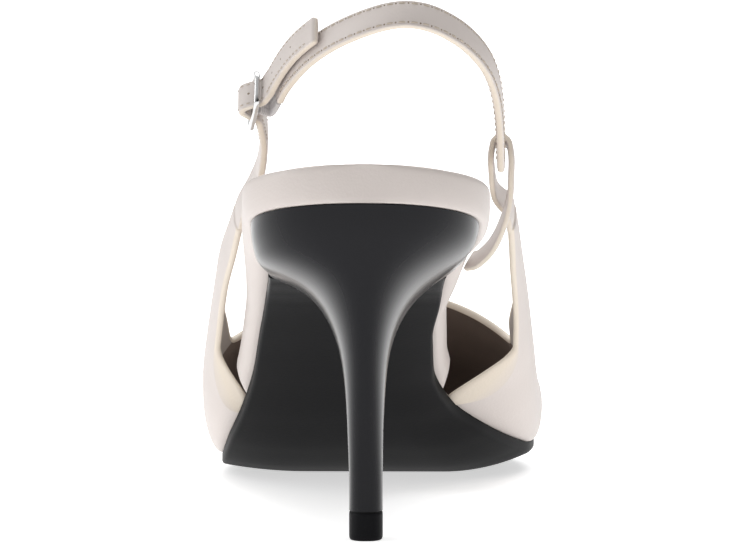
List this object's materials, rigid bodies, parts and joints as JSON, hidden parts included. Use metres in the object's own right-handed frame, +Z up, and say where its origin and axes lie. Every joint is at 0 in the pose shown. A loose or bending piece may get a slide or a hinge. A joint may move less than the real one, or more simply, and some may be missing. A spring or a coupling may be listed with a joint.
{
  "type": "pointed toe slingback heeled shoe",
  "caption": "Left pointed toe shoe with a stiletto heel, cut-away sides that rise into wings, and a sling strap with elastic and buckle.",
  "frame": {"origin": "centre of the top lift's walking face, on the floor", "axes": "+Y from the heel to the toe, +X to the inner (medial) side, +Z up"},
  "size_m": [0.0844, 0.2495, 0.1292],
  "materials": {
    "cream_leather": "satin",
    "sole_black": "satin",
    "heel_gloss": "high gloss",
    "lift_rubber": "matt",
    "elastic_fabric": "ribbed",
    "buckle_metal": "polished"
  },
  "bodies": {
    "root": {"outsole": "sole_black", "footbed": "cream_leather", "upper": "cream_leather", "heel": "heel_gloss", "top_lift": "lift_rubber", "sling_strap": "cream_leather", "buckle_strap": "cream_leather", "medial_loop_strap": "cream_leather", "elastic": "elastic_fabric", "buckle_frame": "buckle_metal", "buckle_prong": "buckle_metal"}
  },
  "joints": []
}
